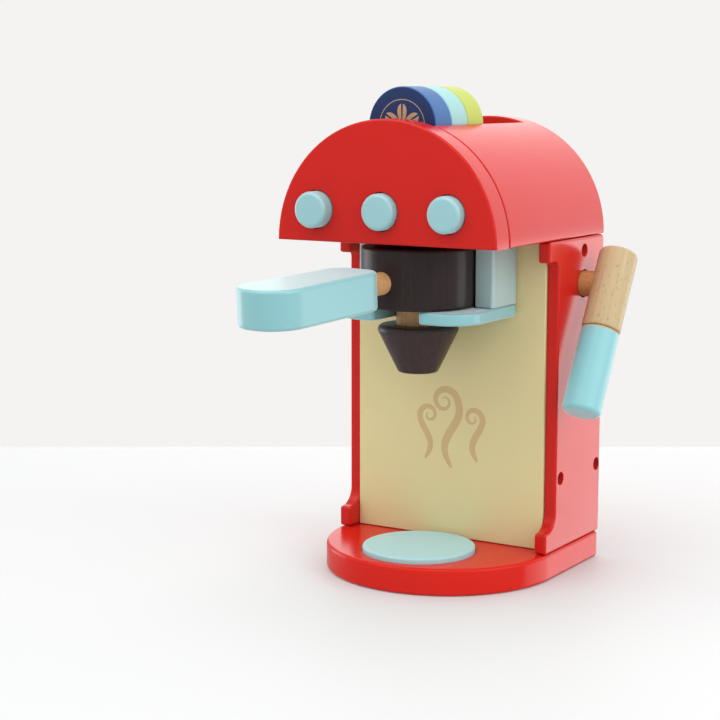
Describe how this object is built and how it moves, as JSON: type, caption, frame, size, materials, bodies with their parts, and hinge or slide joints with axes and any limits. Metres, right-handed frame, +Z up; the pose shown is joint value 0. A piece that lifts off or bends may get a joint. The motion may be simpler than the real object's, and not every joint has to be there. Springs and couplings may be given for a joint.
{
  "type": "toy coffee maker",
  "caption": "Wooden toy coffee maker with push buttons, a pull-out filter holder in a fork, a swinging side lever and pods in a slot in its round top.",
  "frame": {"origin": "on the table, under the middle of the base", "axes": "+Z up, +Y to the back of the machine, +X to the right of someone facing it; the head's front face and its buttons look along -Y"},
  "size_m": [0.1566, 0.2193, 0.2632],
  "materials": {
    "red_paint": "satin paint on board",
    "pale_blue_paint": "satin paint on turned wood",
    "brown_paint": "satin dark stain on turned wood",
    "cream_paint": "satin paint on board",
    "natural_wood": "bare fine-grained hardwood",
    "inner_board": "bare fibreboard",
    "steel": "zinc-plated steel",
    "pod_blue": "satin paint",
    "pod_aqua": "satin paint",
    "pod_lime": "satin paint"
  },
  "bodies": {
    "machine": {"base_board": "red_paint", "drip_disc": "pale_blue_paint", "side_panel_left": "red_paint", "side_panel_right": "red_paint", "splash_panel": "cream_paint", "back_board": "red_paint", "body_top_board": "inner_board", "head_floor": "red_paint", "head_front_panel": "red_paint", "hood": "red_paint", "pod_shelf": "inner_board", "slot_rail_left": "inner_board", "slot_rail_right": "inner_board", "button_guide_board": "inner_board", "group_block": "pale_blue_paint", "fork_plate": "pale_blue_paint", "button_spring_left": "steel", "button_spring_middle": "steel", "button_spring_right": "steel", "splash_screw_left": "steel", "back_screw_left": "steel", "top_screw_left": "steel", "base_screw_left": "steel", "splash_screw_right": "steel", "back_screw_right": "steel", "top_screw_right": "steel", "base_screw_right": "steel"},
    "button_left": {"button_cap_left": "pale_blue_paint", "button_stem_left": "natural_wood"},
    "button_middle": {"button_cap_middle": "pale_blue_paint", "button_stem_middle": "natural_wood"},
    "button_right": {"button_cap_right": "pale_blue_paint", "button_stem_right": "natural_wood"},
    "filter_carrier": {"filter_neck": "natural_wood", "spout_cone": "brown_paint"},
    "filter_holder": {"filter_cylinder": "brown_paint", "handle_dowel": "natural_wood", "filter_handle": "pale_blue_paint"},
    "lever": {"lever_peg": "natural_wood", "lever_collar": "natural_wood", "lever_screw": "steel", "lever_barrel": "natural_wood", "lever_grip": "pale_blue_paint"},
    "pod_front": {"pod_front": "pod_blue"},
    "pod_middle": {"pod_middle": "pod_aqua"},
    "pod_rear": {"pod_rear": "pod_lime"}
  },
  "joints": [
    {"name": "button_left_push", "type": "slide", "parent": "machine", "child": "button_left", "axis": [0, 1, 0], "range_m": [0, 0.004], "stiffness_N_per_m": 200, "springref_m": -0.002, "deforming": ["button_spring_left"]},
    {"name": "button_middle_push", "type": "slide", "parent": "machine", "child": "button_middle", "axis": [0, 1, 0], "range_m": [0, 0.004], "stiffness_N_per_m": 200, "springref_m": -0.002, "deforming": ["button_spring_middle"]},
    {"name": "button_right_push", "type": "slide", "parent": "machine", "child": "button_right", "axis": [0, 1, 0], "range_m": [0, 0.004], "stiffness_N_per_m": 200, "springref_m": -0.002, "deforming": ["button_spring_right"]},
    {"name": "filter_slide", "type": "slide", "parent": "machine", "child": "filter_carrier", "axis": [0, -1, 0], "range_m": [0, 0.045]},
    {"name": "filter_turn", "type": "hinge", "parent": "filter_carrier", "child": "filter_holder", "pos_m": [0, -0.0285, 0.165], "axis": [0, 0, 1], "range_deg": [-76, 94]},
    {"name": "lever_turn", "type": "hinge", "parent": "machine", "child": "lever", "pos_m": [0.0811, 0.03865, 0.1575], "axis": [1, 0, 0], "continuous": true},
    {"name": "pod_front_lift", "type": "slide", "parent": "machine", "child": "pod_front", "axis": [0, 0, 1], "range_m": [0, 0.05]},
    {"name": "pod_middle_lift", "type": "slide", "parent": "machine", "child": "pod_middle", "axis": [0, 0, 1], "range_m": [0, 0.05]},
    {"name": "pod_rear_lift", "type": "slide", "parent": "machine", "child": "pod_rear", "axis": [0, 0, 1], "range_m": [0, 0.05]}
  ]
}
